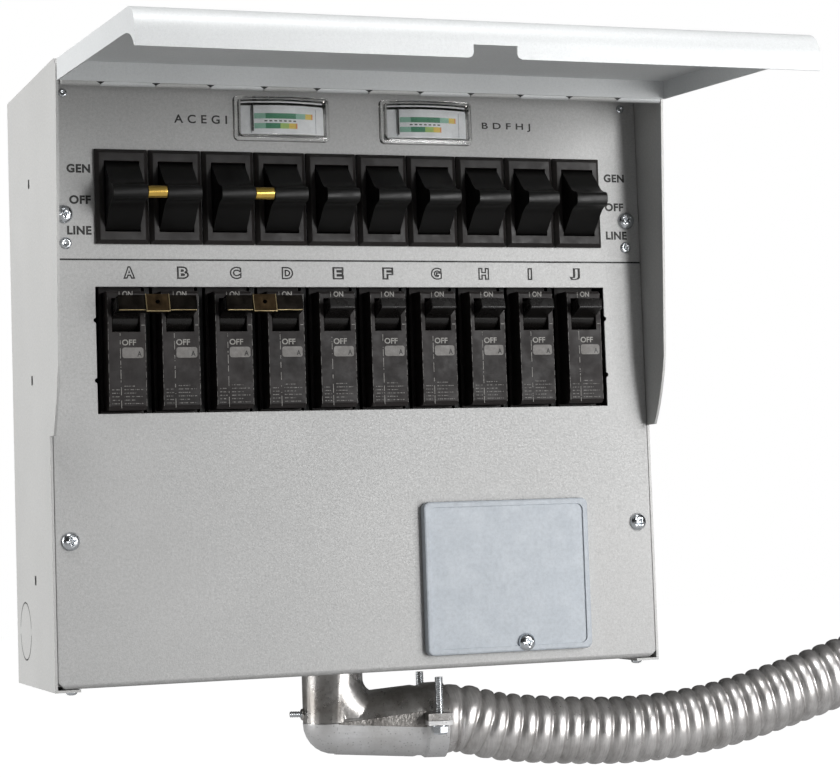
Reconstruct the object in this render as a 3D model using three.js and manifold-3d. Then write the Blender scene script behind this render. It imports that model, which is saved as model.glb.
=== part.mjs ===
// Manual transfer switch, wall hung, with its lid open and its conduit whip.
// Millimetres. X runs right, Y runs into the wall, Z runs up. The origin is the centre of the
// back face, which rests on the wall, so the front panels stand at y = -DEPTH.

import * as THREE from "three";
import { mergeVertices } from "three/addons/utils/BufferGeometryUtils.js";
import Module from "manifold-3d";

const wasm = await Module();
wasm.setup();

// ---------------------------------------------------------------- driving dimensions

const GAP = 0.3; // clearance between pieces that touch
const WIDTH = 374;
const HEIGHT = 355;
const DEPTH = 114.3;
const SHEET = 1.5;

const PITCH = 31.75; // between circuits
const CIRCUITS = ["a", "b", "c", "d", "e", "f", "g", "h", "i", "j"];
const TIED = [0, 2]; // circuits a-b and c-d are two-pole pairs

const FRONT = -DEPTH;
const SIDE = WIDTH / 2;
const TOP = HEIGHT / 2;
const SEAM_Z = 68; // between the switch panel and the front cover
const INSIDE = SIDE - SHEET; // inner face of the side walls

// side wings of the enclosure, beside the switches
const WING_TOP_REACH = 38.2; // in front of the panels, at the hinge
const WING_LOW_REACH = 27.2; // at z = 0
const WING_FOOT_Z = -33;
const WING_FOOT_REACH = 11;
const WING_HEAD_Z = 168;

// lid and its hinge
const HINGE_Y = FRONT - 38.5;
const HINGE_Z = 163.6;
const BARREL_R = 2;
const BARREL_SHIFT = -3.3; // of the barrels' ends from the circuits' spacing
const PIN_R = 1.1;
const LID_TILT = THREE.MathUtils.degToRad(2.9); // nose down when open
const LID_SHEET = 1.2;
const LID_BACK = BARREL_R + GAP; // the lid's rear flange passes in front of the barrels
const LID_EDGE = 0.2; // lower edge of the lid's flanges, above the hinge line
const LID_REACH = 193; // hinge to nose
const LID_RISE = 12.3; // hinge to the lid's outer face
const LID_NOSE_R = 14;
const LID_NOSE_DROP = 8.8; // nose edge below the hinge line
const LID_SIDE = SIDE - 0.2;
const NOTCH_HALF = 12;
const NOTCH_HEIGHT = 6.8;

// rocker switches
const SWITCH_Z = 104.4;
const SWITCH_HEIGHT = 55;
const SWITCH_WIDTH = 31;
const SWITCH_PROUD = 4;
const SLOT_WIDTH = 20.6;
const SLOT_HEIGHT = 40.8;
const ROCKER_WIDTH = 20;
const ROCKER_REACH = 26.8; // pivot to handle tip

// breakers
const BREAKER_Z = 15.25;
const BREAKER_FACE = { left: -10.8, right: 11.4 };
const BREAKER_HEIGHT = 68.5;
const BREAKER_PROUD = 5.7;
const TOGGLE_Z = 35.5;
const TOGGLE_Y = FRONT + 4.3;
const TOGGLE_SLOT_WIDTH = 16.2;
const TOGGLE_SLOT_HEIGHT = 19.1;
const TOGGLE_REACH = 21.8;
const TOGGLE_TIE_LENGTH = 46;
const TOGGLE_ON = THREE.MathUtils.degToRad(15.5);
const WINDOW = { left: -159, right: 159.2, low: -20.7, high: 52.3 };

// meters
const METER_X = 45.4;
const METER_Z = 152.1;
const METER_WIDTH = 58.8;
const METER_HEIGHT = 27;
const METER_RIM = 2; // step round the foot of the lens
const METER_CORNER = 3;
const METER_PIVOT_Y = FRONT + 40; // the needle's axis
const LENS_R = 96;
const LENS_PROUD = 11;
const LENS_WALL = 1.2;
const SCALE_R = 70;
const SCALE_PROUD = 6;
const NEEDLE_REACH = 48.4;
const NEEDLE_ZERO = THREE.MathUtils.degToRad(22.5); // left of centre

// inlet cover plate
const PLATE = { x: 87.6, z: -122.2, width: 106.2, height: 91, proud: 5.5, corner: 4, rim: 3.4, recess: 1 };
const INLET_HOLE_R = 30;

// conduit and its fittings
const CONDUIT_R = 21;
const ELBOW_X = -2.3;
const ELBOW_Y = -46;
const ELBOW_TURN = THREE.MathUtils.degToRad(8); // the branch points slightly off the wall
const ELBOW_TOP = -174.3;
const NECK_R = 18.7;
const HUB_R = 16.8; // spigot that passes through the enclosure's floor
const HEEL_R = 18.9;
const HEEL_Z = -209.4;
const BEND_R = 28; // of the tube that rounds the corner between neck and branch
const BRANCH_R = 23.3;
const BRANCH_Z = -210.5;
const BRANCH_LENGTH = 68.3;
const BORE_R = 15;
const PARTING_Z = -208.5;
const EAR_REACH = 10;
const EAR_LENGTH = 15.5;
const EAR_THICK = { upper: 4.2, lower: 2.6 };

// ---------------------------------------------------------------- geometry helpers

function toSolid(geometry) {
  const bare = geometry.index ? geometry.toNonIndexed() : geometry.clone();
  bare.deleteAttribute("normal");
  bare.deleteAttribute("uv");
  const merged = mergeVertices(bare, 1e-4);
  return new wasm.Manifold(
    new wasm.Mesh({
      numProp: 3,
      vertProperties: new Float32Array(merged.attributes.position.array),
      triVerts: new Uint32Array(merged.index.array),
    }),
  );
}

function toGeometry(solid) {
  const { vertProperties, triVerts, numProp } = solid.getMesh();
  const count = vertProperties.length / numProp;
  const position = new Float32Array(count * 3);
  for (let i = 0; i < count; i++) {
    position.set(vertProperties.subarray(i * numProp, i * numProp + 3), i * 3);
  }
  const geometry = new THREE.BufferGeometry();
  geometry.setAttribute("position", new THREE.BufferAttribute(position, 3));
  geometry.setIndex(new THREE.BufferAttribute(new Uint32Array(triVerts), 1));
  return geometry;
}

function union(first, ...rest) {
  return rest.reduce((whole, part) => whole.add(part), first);
}

function cut(first, ...rest) {
  return rest.reduce((whole, part) => whole.subtract(part), first);
}

// A box between two corners.
function box(x0, x1, y0, y1, z0, z1) {
  const geometry = new THREE.BoxGeometry(x1 - x0, y1 - y0, z1 - z0);
  geometry.translate((x0 + x1) / 2, (y0 + y1) / 2, (z0 + z1) / 2);
  return toSolid(geometry);
}

function outline(points) {
  return new THREE.Shape(points.map(([u, v]) => new THREE.Vector2(u, v)));
}

function extruded(shape, depth, curveSegments = 6) {
  return new THREE.ExtrudeGeometry(shape, { depth, bevelEnabled: false, curveSegments });
}

// A shape drawn in (y, z), extruded along X.
function prismX(shape, x0, x1, curveSegments) {
  const geometry = extruded(shape, x1 - x0, curveSegments);
  const basis = new THREE.Matrix4().makeBasis(
    new THREE.Vector3(0, 1, 0),
    new THREE.Vector3(0, 0, 1),
    new THREE.Vector3(1, 0, 0),
  );
  geometry.applyMatrix4(basis);
  geometry.translate(x0, 0, 0);
  return toSolid(geometry);
}

// A shape drawn in (x, z), extruded along Y.
function prismY(shape, y0, y1, curveSegments) {
  const geometry = extruded(shape, y1 - y0, curveSegments);
  geometry.rotateX(Math.PI / 2);
  geometry.translate(0, y1, 0);
  return toSolid(geometry);
}

// A shape drawn in (x, y), extruded along Z.
function prismZ(shape, z0, z1, curveSegments) {
  const geometry = extruded(shape, z1 - z0, curveSegments);
  geometry.translate(0, 0, z0);
  return toSolid(geometry);
}

function cylinder(radius, length, axis, sides, centre) {
  const geometry = new THREE.CylinderGeometry(radius, radius, length, sides);
  if (axis === "x") geometry.rotateZ(Math.PI / 2);
  if (axis === "z") geometry.rotateX(Math.PI / 2);
  geometry.translate(...centre);
  return toSolid(geometry);
}

// A solid round bar that follows a curve.
function swept(curve, radius, steps, curveSegments) {
  const section = new THREE.Shape();
  section.absarc(0, 0, radius, 0, 2 * Math.PI);
  const settings = { extrudePath: curve, steps, curveSegments, bevelEnabled: false };
  return toSolid(new THREE.ExtrudeGeometry(section, settings));
}

// A profile of [radius, height] pairs turned about an axis.
function turned(profile, sides, axis) {
  const geometry = new THREE.LatheGeometry(profile.map((p) => new THREE.Vector2(...p)), sides);
  if (axis === "x") geometry.rotateZ(-Math.PI / 2);
  return toSolid(geometry);
}

function roundedRectangle(width, height, radius) {
  const shape = new THREE.Shape();
  const u = width / 2;
  const v = height / 2;
  shape.moveTo(-u + radius, -v);
  shape.lineTo(u - radius, -v);
  shape.absarc(u - radius, -v + radius, radius, -Math.PI / 2, 0);
  shape.lineTo(u, v - radius);
  shape.absarc(u - radius, v - radius, radius, 0, Math.PI / 2);
  shape.lineTo(-u + radius, v);
  shape.absarc(-u + radius, v - radius, radius, Math.PI / 2, Math.PI);
  shape.lineTo(-u, -v + radius);
  shape.absarc(-u + radius, -v + radius, radius, Math.PI, (3 * Math.PI) / 2);
  return shape;
}

function rectangle(width, height) {
  const u = width / 2;
  const v = height / 2;
  return outline([[-u, -v], [u, -v], [u, v], [-u, v]]);
}

// A plate in the XZ plane with its back on y = 0, whose front edges are chamfered or rounded.
function bevelledPlate(shape, thickness, bevel, segments, curveSegments = 4) {
  const geometry = new THREE.ExtrudeGeometry(shape, {
    depth: 2 * thickness - 2 * bevel,
    bevelEnabled: true,
    bevelThickness: bevel,
    bevelSize: bevel,
    bevelOffset: -bevel,
    bevelSegments: segments,
    curveSegments,
  });
  geometry.rotateX(Math.PI / 2);
  geometry.translate(0, thickness - bevel, 0);
  const behind = box(-500, 500, 0, 100, -500, 500);
  return cut(toSolid(geometry), behind);
}

// ---------------------------------------------------------------- materials

const paint = { roughness: 0.55, metalness: 0.1 };
const looks = {
  panelPaint: new THREE.MeshStandardMaterial({ color: 0xb4b3ae, ...paint }),
  lidPaint: new THREE.MeshStandardMaterial({ color: 0xc6c9ca, ...paint }),
  blackPlastic: new THREE.MeshStandardMaterial({ color: 0x262424, roughness: 0.45 }),
  breakerPlastic: new THREE.MeshStandardMaterial({ color: 0x3b3838, roughness: 0.5 }),
  togglePlastic: new THREE.MeshStandardMaterial({ color: 0x1d1b1a, roughness: 0.4 }),
  brass: new THREE.MeshStandardMaterial({ color: 0xc9a227, roughness: 0.3, metalness: 1 }),
  bronze: new THREE.MeshStandardMaterial({ color: 0x6f5a2c, roughness: 0.4, metalness: 1 }),
  greyPlastic: new THREE.MeshStandardMaterial({ color: 0xa9aeb8, roughness: 0.45 }),
  clear: new THREE.MeshStandardMaterial({ color: 0xdfe6e6, roughness: 0.08 }),
  white: new THREE.MeshStandardMaterial({ color: 0xeceeee, roughness: 0.6 }),
  needle: new THREE.MeshStandardMaterial({ color: 0x151515, roughness: 0.5 }),
  casting: new THREE.MeshStandardMaterial({ color: 0x8f9091, roughness: 0.35, metalness: 1 }),
  steel: new THREE.MeshStandardMaterial({ color: 0xb0adab, roughness: 0.28, metalness: 1 }),
};

const assembly = new THREE.Group();

function add(name, solid, material, parent = assembly) {
  const mesh = new THREE.Mesh(toGeometry(solid), material);
  mesh.name = name;
  parent.add(mesh);
  return mesh;
}

function circuitX(index) {
  return (index - (CIRCUITS.length - 1) / 2) * PITCH;
}

// ---------------------------------------------------------------- enclosure

function wingFrontY(z) {
  const slope = (WING_TOP_REACH - WING_LOW_REACH) / HINGE_Z;
  return FRONT - WING_LOW_REACH - slope * z;
}

function sideWallShape() {
  const shape = new THREE.Shape();
  shape.moveTo(0, -TOP);
  shape.lineTo(FRONT, -TOP);
  shape.lineTo(FRONT, WING_FOOT_Z);
  shape.lineTo(FRONT - WING_FOOT_REACH + 0.8, WING_FOOT_Z);
  shape.lineTo(FRONT - WING_FOOT_REACH, WING_FOOT_Z + 0.6);
  shape.quadraticCurveTo(FRONT - 2 * WING_FOOT_REACH, WING_FOOT_Z + 17, wingFrontY(8), 8);
  shape.lineTo(wingFrontY(WING_HEAD_Z), WING_HEAD_Z);
  shape.quadraticCurveTo(wingFrontY(WING_HEAD_Z) - 0.8, TOP, FRONT - 31, TOP);
  shape.lineTo(0, TOP);
  return shape;
}

// Top plate, bent down at the front into the lip that carries the hinge.
function topShape() {
  const lipFront = HINGE_Y + BARREL_R + GAP;
  return outline([
    [0, TOP],
    [lipFront + 4, TOP],
    [lipFront, TOP - 4],
    [lipFront, HINGE_Z - 1.5],
    [lipFront + SHEET, HINGE_Z - 1.5],
    [lipFront + SHEET, TOP - 4.6],
    [lipFront + 4.6, TOP - SHEET],
    [0, TOP - SHEET],
  ]);
}

// Hinge barrels are one pitch long. Even ones are the enclosure's, odd ones the lid's.
function barrels(parity, solidify) {
  const ends = [-INSIDE + 1];
  for (let k = -5; k <= 5; k++) ends.push(k * PITCH + BARREL_SHIFT);
  ends.push(INSIDE - 1);
  const found = [];
  for (let i = parity; i < ends.length - 1; i += 2) {
    found.push(solidify(ends[i] + GAP / 2, ends[i + 1] - GAP / 2));
  }
  return found;
}

// A barrel along X with softened ends.
function barrelBody(x0, x1) {
  const chamfer = 0.35;
  const length = x1 - x0;
  const profile = [
    [0, 0], [BARREL_R - chamfer, 0], [BARREL_R, chamfer],
    [BARREL_R, length - chamfer], [BARREL_R - chamfer, length], [0, length],
  ];
  return turned(profile, 14, "x").translate([x0, 0, 0]);
}

function makeEnclosure() {
  const walls = [-1, 1].map((side) => {
    const wall = prismX(sideWallShape(), side < 0 ? -SIDE : INSIDE, side < 0 ? -INSIDE : SIDE);
    const inner = side < 0 ? [-INSIDE - 0.2, -INSIDE + 16] : [INSIDE - 16, INSIDE + 0.2];
    const flangeY = FRONT + SHEET + GAP;
    const flange = box(...inner, flangeY, flangeY + SHEET, -172.6, TOP - SHEET + 0.2);
    const tab = side < 0 ? [-SIDE, -SIDE + 14.7] : [SIDE - 14.7, SIDE];
    const foot = box(...tab, FRONT, 0, -TOP, -TOP + 1.4);
    return union(wall, flange, foot);
  });
  const span = INSIDE + 0.2;
  const back = box(-span, span, -SHEET, 0, -174, TOP);
  const top = prismX(topShape(), -span, span);
  const bottom = box(-span, span, FRONT + 2 * SHEET, 0, -174, -172.5);
  const hub = cylinder(HUB_R + 2 * GAP, 10, "z", 28, [ELBOW_X, ELBOW_Y, -173]);
  const pin = cylinder(PIN_R, 2 * INSIDE - 4, "x", 10, [0, 0, 0]);
  const knuckles = barrels(0, (x0, x1) => {
    const web = box(x0, x1, 0, BARREL_R + 2 * GAP, -1, 1);
    return union(barrelBody(x0, x1), web);
  });
  const hinge = union(pin, ...knuckles).translate([0, HINGE_Y, HINGE_Z]);
  const shell = union(walls[0], walls[1], back, top, bottom);
  return union(cut(shell, hub), hinge);
}

add("enclosure", makeEnclosure(), looks.panelPaint);

// ---------------------------------------------------------------- front panels

function makeSwitchPanel() {
  const plate = box(-INSIDE + GAP, INSIDE - GAP, FRONT, FRONT + SHEET, SEAM_Z + GAP, 173);
  const switchHoles = CIRCUITS.map((_, index) => {
    const x = circuitX(index);
    return box(x - 12.4, x + 12.4, FRONT - 1, FRONT + 3, SWITCH_Z - 22.4, SWITCH_Z + 22.4);
  });
  const meterHoles = [-METER_X, METER_X].map((x) =>
    box(x - 26.6, x + 26.6, FRONT - 1, FRONT + 3, METER_Z - 10.8, METER_Z + 10.8),
  );
  return cut(plate, ...switchHoles, ...meterHoles);
}

function makeFrontCover() {
  const low = -TOP + 1.7;
  const bend = 3;
  const section = new THREE.Shape();
  section.moveTo(FRONT, SEAM_Z - GAP);
  section.lineTo(FRONT, low + bend);
  section.absarc(FRONT + bend, low + bend, bend, Math.PI, (3 * Math.PI) / 2);
  section.lineTo(FRONT + 14, low);
  section.lineTo(FRONT + 14, low + SHEET);
  section.lineTo(FRONT + bend, low + SHEET);
  section.absarc(FRONT + bend, low + bend, bend - SHEET, (3 * Math.PI) / 2, Math.PI, true);
  section.lineTo(FRONT + SHEET, SEAM_Z - GAP);
  const edge = INSIDE - GAP;
  const sheet = prismX(section, -edge, edge, 4);
  const corners = [-1, 1].map((side) => {
    const clip = outline([[side * (edge - 5), low - 1], [side * (edge + 1), low - 1], [side * (edge + 1), low + 5]]);
    return prismY(clip, FRONT - 1, FRONT + 16);
  });
  const { left, right, low: sill, high: head } = WINDOW;
  const window = box(left, right, FRONT - 1, FRONT + 3, sill, head);
  const notches = [-1.6, 33].flatMap((z) =>
    [left, right].map((x) => cylinder(1.4, 6, "y", 12, [x, FRONT, z])),
  );
  const inlet = cylinder(INLET_HOLE_R, 6, "y", 32, [PLATE.x, FRONT, PLATE.z]);
  return cut(sheet, ...corners, window, ...notches, inlet);
}

function makeInletPlate() {
  const shape = roundedRectangle(PLATE.width, PLATE.height, PLATE.corner);
  const body = bevelledPlate(shape, PLATE.proud, 1.1, 2);
  const face = roundedRectangle(PLATE.width - 2 * PLATE.rim, PLATE.height - 2 * PLATE.rim, PLATE.corner);
  const recess = prismY(face, -PLATE.proud - 1, -PLATE.proud + PLATE.recess, 4);
  const hollow = prismY(rectangle(PLATE.width - 5, PLATE.height - 5), -PLATE.proud + PLATE.recess + 2, 1);
  return cut(body, recess, hollow).translate([PLATE.x, FRONT - GAP, PLATE.z]);
}

add("switch_panel", makeSwitchPanel(), looks.panelPaint);
add("front_cover", makeFrontCover(), looks.panelPaint);
add("inlet_cover_plate", makeInletPlate(), looks.greyPlastic);

// ---------------------------------------------------------------- lid

// The lid is drawn flat in its own frame: hinge at the origin, nose towards -Y, outer face up.
function lidSection(inset) {
  const reach = LID_REACH - inset;
  const rise = LID_RISE - inset;
  const radius = LID_NOSE_R - inset;
  const shape = new THREE.Shape();
  const floor = LID_EDGE - 10 * inset;
  shape.moveTo(-LID_BACK - inset, rise);
  shape.lineTo(-reach + radius, rise);
  shape.absarc(-reach + radius, rise - radius, radius, Math.PI / 2, Math.PI);
  shape.lineTo(-reach, -LID_NOSE_DROP - 10 * inset);
  shape.lineTo(-reach + LID_SHEET, -LID_NOSE_DROP - 10 * inset);
  shape.quadraticCurveTo(-reach + 6, floor, -reach + 25, floor);
  shape.lineTo(-LID_BACK - inset, floor);
  return shape;
}

function makeLid() {
  const pan = prismX(lidSection(0), -LID_SIDE, LID_SIDE, 6);
  const inner = LID_SIDE - LID_SHEET;
  const hollow = prismX(lidSection(LID_SHEET), -inner, inner, 6);
  const notch = outline([
    [-NOTCH_HALF - 3, -LID_NOSE_DROP - 1],
    [NOTCH_HALF + 3, -LID_NOSE_DROP - 1],
    [NOTCH_HALF + 2.6, -LID_NOSE_DROP],
    [NOTCH_HALF + 0.8, -LID_NOSE_DROP + 0.8],
    [NOTCH_HALF, -LID_NOSE_DROP + 2.6],
    [NOTCH_HALF, -LID_NOSE_DROP + NOTCH_HEIGHT],
    [-NOTCH_HALF, -LID_NOSE_DROP + NOTCH_HEIGHT],
    [-NOTCH_HALF, -LID_NOSE_DROP + 2.6],
    [-NOTCH_HALF - 0.8, -LID_NOSE_DROP + 0.8],
    [-NOTCH_HALF - 2.6, -LID_NOSE_DROP],
  ]);
  const finger = prismY(notch, -LID_REACH - 2, -LID_REACH + 4);
  const knuckles = barrels(1, (x0, x1) => {
    const web = box(x0, x1, -LID_BACK - LID_SHEET / 2, 0, LID_EDGE, BARREL_R - GAP);
    return union(barrelBody(x0, x1), web);
  });
  const pinWay = cylinder(PIN_R + GAP, 2 * SIDE, "x", 12, [0, 0, 0]);
  return cut(union(cut(pan, hollow, finger), ...knuckles), pinWay);
}

const lidFrame = new THREE.Group();
lidFrame.position.set(0, HINGE_Y, HINGE_Z);
lidFrame.rotation.x = LID_TILT;
assembly.add(lidFrame);
add("lid", makeLid(), looks.lidPaint, lidFrame);

// ---------------------------------------------------------------- rocker switches

function makeSwitchHousing() {
  const front = rectangle(SWITCH_WIDTH, SWITCH_HEIGHT);
  const flange = bevelledPlate(front, SWITCH_PROUD - GAP, 2.2, 1).translate([0, -GAP, 0]);
  const body = box(-12, 12, -GAP - 0.2, 22, -22, 22);
  const cavity = box(-SLOT_WIDTH / 2, SLOT_WIDTH / 2, -9, 20, -SLOT_HEIGHT / 2, SLOT_HEIGHT / 2);
  return cut(union(flange, body), cavity);
}

// Side view of the rocker, pivot at the origin, handle towards -Y.
function rockerShape() {
  const upper = [
    [-ROCKER_REACH, 1.6],
    [-ROCKER_REACH + 0.8, 3.2],
    [-ROCKER_REACH + 2.6, 4.2],
    [-21.5, 4.6],
    [-18, 6.2],
    [-14.5, 9.2],
    [-10.5, 13.2],
    [-6.5, 17],
    [-3, 19.7],
    [0.5, 19.9],
    [7, 18],
    [13, 11],
  ];
  const lower = upper.map(([y, z]) => [y, -z]).reverse();
  return outline([...upper, ...lower].reverse());
}

function makeRockers() {
  const housing = makeSwitchHousing();
  const rocker = prismX(rockerShape(), -ROCKER_WIDTH / 2, ROCKER_WIDTH / 2);
  CIRCUITS.forEach((letter, index) => {
    const x = circuitX(index);
    add(`switch_housing_${letter}`, housing, looks.blackPlastic).position.set(x, FRONT, SWITCH_Z);
    add(`rocker_${letter}`, rocker, looks.blackPlastic).position.set(x, FRONT + 0.3, SWITCH_Z);
  });
}

function makeRockerTie(index) {
  const length = PITCH - ROCKER_WIDTH - 2 * GAP;
  const profile = [[1.8, 0], [3.6, 0], [3.6, length], [1.8, length], [1.8, 0]];
  const tube = turned(profile, 16, "x").translate([-length / 2, 0, 0]);
  const pair = CIRCUITS[index] + CIRCUITS[index + 1];
  const tie = add(`rocker_tie_${pair}`, tube, looks.brass);
  tie.position.set(circuitX(index + 0.5), FRONT + 0.3 - ROCKER_REACH + 3.6, SWITCH_Z);
}

makeRockers();
TIED.forEach(makeRockerTie);

// ---------------------------------------------------------------- breakers

function makeBreaker() {
  const half = BREAKER_HEIGHT / 2;
  const face = -BREAKER_PROUD;
  const section = outline([
    [face, half - 1.5],
    [face + 1.5, half],
    [9, half],
    [9, half + 11.5],
    [52, half + 11.5],
    [52, -half - 11.5],
    [9, -half - 11.5],
    [9, -half],
    [face + 2.4, -half],
    [face, -half + 2.4],
  ]);
  const body = prismX(section, -12.7, 12.7);
  const shoulders = [-1, 1].map((side) => {
    const x = side < 0 ? [-20, BREAKER_FACE.left] : [BREAKER_FACE.right, 20];
    return box(...x, -20, 9, -80, 80);
  });
  const slotZ = TOGGLE_Z - BREAKER_Z;
  const u = TOGGLE_SLOT_WIDTH / 2;
  const v = TOGGLE_SLOT_HEIGHT / 2;
  const slot = box(-u, u, -20, 15, slotZ - v, slotZ + v);
  return cut(body, ...shoulders, slot);
}

// Side view of the toggle, pivot at the origin, handle towards -Y.
function makeToggle() {
  const half = TOGGLE_SLOT_WIDTH / 2 - GAP;
  const drum = cylinder(9.2, 2 * half, "x", 20, [0, 0, 0]);
  const tip = TOGGLE_REACH;
  const stub = outline([[-4, -4.6], [-4, 4.6], [-tip + 0.6, 3.3], [-tip, 2.6], [-tip, -2.6], [-tip + 0.6, -3.3]]);
  return union(drum, prismX(stub, -half, half));
}

// Sheet clip that hooks over two neighbouring toggles.
function makeToggleTie() {
  const back = -TOGGLE_REACH - GAP;
  const channel = outline([
    [back, -3.7], [back + 4.6, -3.7], [back + 4.6, -4.5], [back - 0.8, -4.5],
    [back - 0.8, 4.5], [back + 4.6, 4.5], [back + 4.6, 3.7], [back, 3.7],
  ]);
  const strip = prismX(channel, -TOGGLE_TIE_LENGTH / 2, TOGGLE_TIE_LENGTH / 2);
  const saddle = box(-6.8, 6.8, back - 1.4, back + 0.1, -5.4, 4.9);
  const hole = cylinder(1.3, 10, "y", 12, [0, back, 0.2]);
  return cut(union(strip, saddle), hole);
}

function makeBreakers() {
  const breaker = makeBreaker();
  const toggle = makeToggle();
  CIRCUITS.forEach((letter, index) => {
    const x = circuitX(index);
    add(`breaker_${letter}`, breaker, looks.breakerPlastic).position.set(x, FRONT, BREAKER_Z);
    const handle = add(`breaker_toggle_${letter}`, toggle, looks.togglePlastic);
    handle.position.set(x, TOGGLE_Y, TOGGLE_Z);
    handle.rotation.x = -TOGGLE_ON;
  });
  for (const index of TIED) {
    const pair = CIRCUITS[index] + CIRCUITS[index + 1];
    const tie = add(`breaker_tie_${pair}`, makeToggleTie(), looks.bronze);
    tie.position.set(circuitX(index + 0.5), TOGGLE_Y, TOGGLE_Z);
    tie.rotation.x = -TOGGLE_ON;
  }
}

// Insulating rail behind the breakers, with a rib in each gap.
function makeBreakerBase() {
  const backY = FRONT + 52 + GAP;
  const plate = box(-158, 158, backY, backY + 3, -29, 60);
  const ribs = [];
  for (let k = -4; k <= 4; k++) {
    ribs.push(box(k * PITCH - 1.5, k * PITCH + 1.5, FRONT + 9, backY + 1, -29, 60));
  }
  const posts = [-1, 1].map((side) => box(side * 100 - 10, side * 100 + 10, backY + 2, -SHEET - GAP, 5, 26));
  return union(plate, ...ribs, ...posts);
}

makeBreakers();
add("breaker_base", makeBreakerBase(), looks.togglePlastic);

// ---------------------------------------------------------------- meters

// Plan view (x, y), panel face at y = 0: straight sides and a front bowed out to -proud.
function bowedShape(halfWidth, radius, proud, backY) {
  const swing = Math.asin(halfWidth / radius);
  const shape = new THREE.Shape();
  shape.moveTo(halfWidth, backY);
  shape.lineTo(-halfWidth, backY);
  shape.absarc(0, radius - proud, radius, -Math.PI / 2 - swing, -Math.PI / 2 + swing);
  shape.lineTo(halfWidth, backY);
  return shape;
}

function makeMeterLens() {
  const half = METER_WIDTH / 2;
  const high = METER_HEIGHT / 2;
  const foot = bevelledPlate(roundedRectangle(2 * half, 2 * high, METER_CORNER), 3.4, 1, 2);
  const halfBow = half - METER_RIM;
  const highBow = high - METER_RIM;
  const corners = prismY(roundedRectangle(2 * halfBow, 2 * highBow, METER_CORNER), -2 * LENS_PROUD, 0, 4);
  const bow = prismZ(bowedShape(halfBow, LENS_R, LENS_PROUD, -GAP), -highBow, highBow, 8).intersect(corners);
  const inner = bowedShape(halfBow - LENS_WALL, LENS_R - LENS_WALL, LENS_PROUD - LENS_WALL, 4);
  const hollow = prismZ(inner, -highBow + LENS_WALL, highBow - LENS_WALL, 8);
  return cut(union(foot.translate([0, -GAP, 0]), bow), hollow);
}

function makeMeterCase() {
  return prismZ(bowedShape(25.9, SCALE_R, SCALE_PROUD, 48), -10, 6.4, 8);
}

// Pointer bar in front of the scale, on an arm that passes over it. The pivot is the origin.
function makeNeedle() {
  const tip = -NEEDLE_REACH;
  const bar = box(-0.45, 0.45, tip, tip + 1, -8, 8.6);
  const arm = box(-0.9, 0.9, tip, 1, 7.6, 8.6);
  const pivot = cylinder(2, 1.6, "z", 12, [0, 0, 8.1]);
  return union(bar, arm, pivot);
}

function makeMeter(side, name) {
  const x = side * METER_X;
  add(`meter_case_${name}`, makeMeterCase(), looks.white).position.set(x, FRONT, METER_Z);
  add(`meter_lens_${name}`, makeMeterLens(), looks.clear).position.set(x, FRONT, METER_Z);
  const needle = add(`meter_needle_${name}`, makeNeedle(), looks.needle);
  needle.position.set(x, METER_PIVOT_Y, METER_Z);
  needle.rotation.z = -NEEDLE_ZERO;
}

makeMeter(-1, "left");
makeMeter(1, "right");

// ---------------------------------------------------------------- conduit elbow

// The elbow's frame: origin on the neck's axis at z = 0, branch along +X.
function branchBlank() {
  const profile = [
    [0, 0],
    [HEEL_R - 0.6, 0],
    [BRANCH_R - 1.3, BRANCH_LENGTH - 20],
    [BRANCH_R - 1.9, BRANCH_LENGTH - 17],
    [BRANCH_R - 1.7, BRANCH_LENGTH - 14],
    [BRANCH_R - 0.3, BRANCH_LENGTH - 12],
    [BRANCH_R, BRANCH_LENGTH],
    [0, BRANCH_LENGTH],
  ];
  return turned(profile, 32, "x").translate([0, 0, BRANCH_Z]);
}

function heel(radius, z) {
  const geometry = new THREE.SphereGeometry(radius, 28, 14);
  geometry.rotateX(Math.PI / 2);
  geometry.translate(0, 0, z);
  return toSolid(geometry);
}

// Quarter bend that rounds the inner corner between neck and branch.
function bend() {
  const points = [];
  for (let step = 0; step <= 8; step++) {
    const angle = (step / 8) * (Math.PI / 2);
    const x = BEND_R * (1 - Math.cos(angle));
    points.push(new THREE.Vector3(x, 0, BRANCH_Z + BEND_R * (1 - Math.sin(angle))));
  }
  return swept(new THREE.CatmullRomCurve3(points), NECK_R - 0.1, 8, 14);
}

function ears(z0, z1) {
  const inner = BRANCH_R - 4;
  return [-1, 1].map((side) => {
    const y = side < 0 ? [-BRANCH_R - EAR_REACH, -inner] : [inner, BRANCH_R + EAR_REACH];
    return box(BRANCH_LENGTH - EAR_LENGTH, BRANCH_LENGTH - 0.5, ...y, z0, z1);
  });
}

function makeElbow() {
  const neck = cylinder(NECK_R, ELBOW_TOP - HEEL_Z, "z", 32, [0, 0, (ELBOW_TOP + HEEL_Z) / 2]);
  const blank = union(neck, branchBlank(), heel(HEEL_R, HEEL_Z), bend());
  const hub = cylinder(HUB_R, 14, "z", 28, [0, 0, ELBOW_TOP + 6]);
  const neckBore = cylinder(BORE_R, 60, "z", 28, [0, 0, BRANCH_Z + 30]);
  const branchBore = cylinder(BORE_R, 80, "x", 28, [40, 0, BRANCH_Z]);
  const way = union(neckBore, branchBore, heel(BORE_R, BRANCH_Z));
  const above = box(-100, 100, -100, 100, PARTING_Z, ELBOW_TOP);
  const below = box(-100, 100, -100, 100, -400, PARTING_Z - GAP);
  const upperEars = ears(PARTING_Z, PARTING_Z + EAR_THICK.upper);
  const lowerEars = ears(PARTING_Z - GAP - EAR_THICK.lower, PARTING_Z - GAP);
  return {
    casting: cut(union(blank.intersect(above), hub, ...upperEars), way),
    cap: cut(union(blank.intersect(below), ...lowerEars), way),
  };
}

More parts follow.
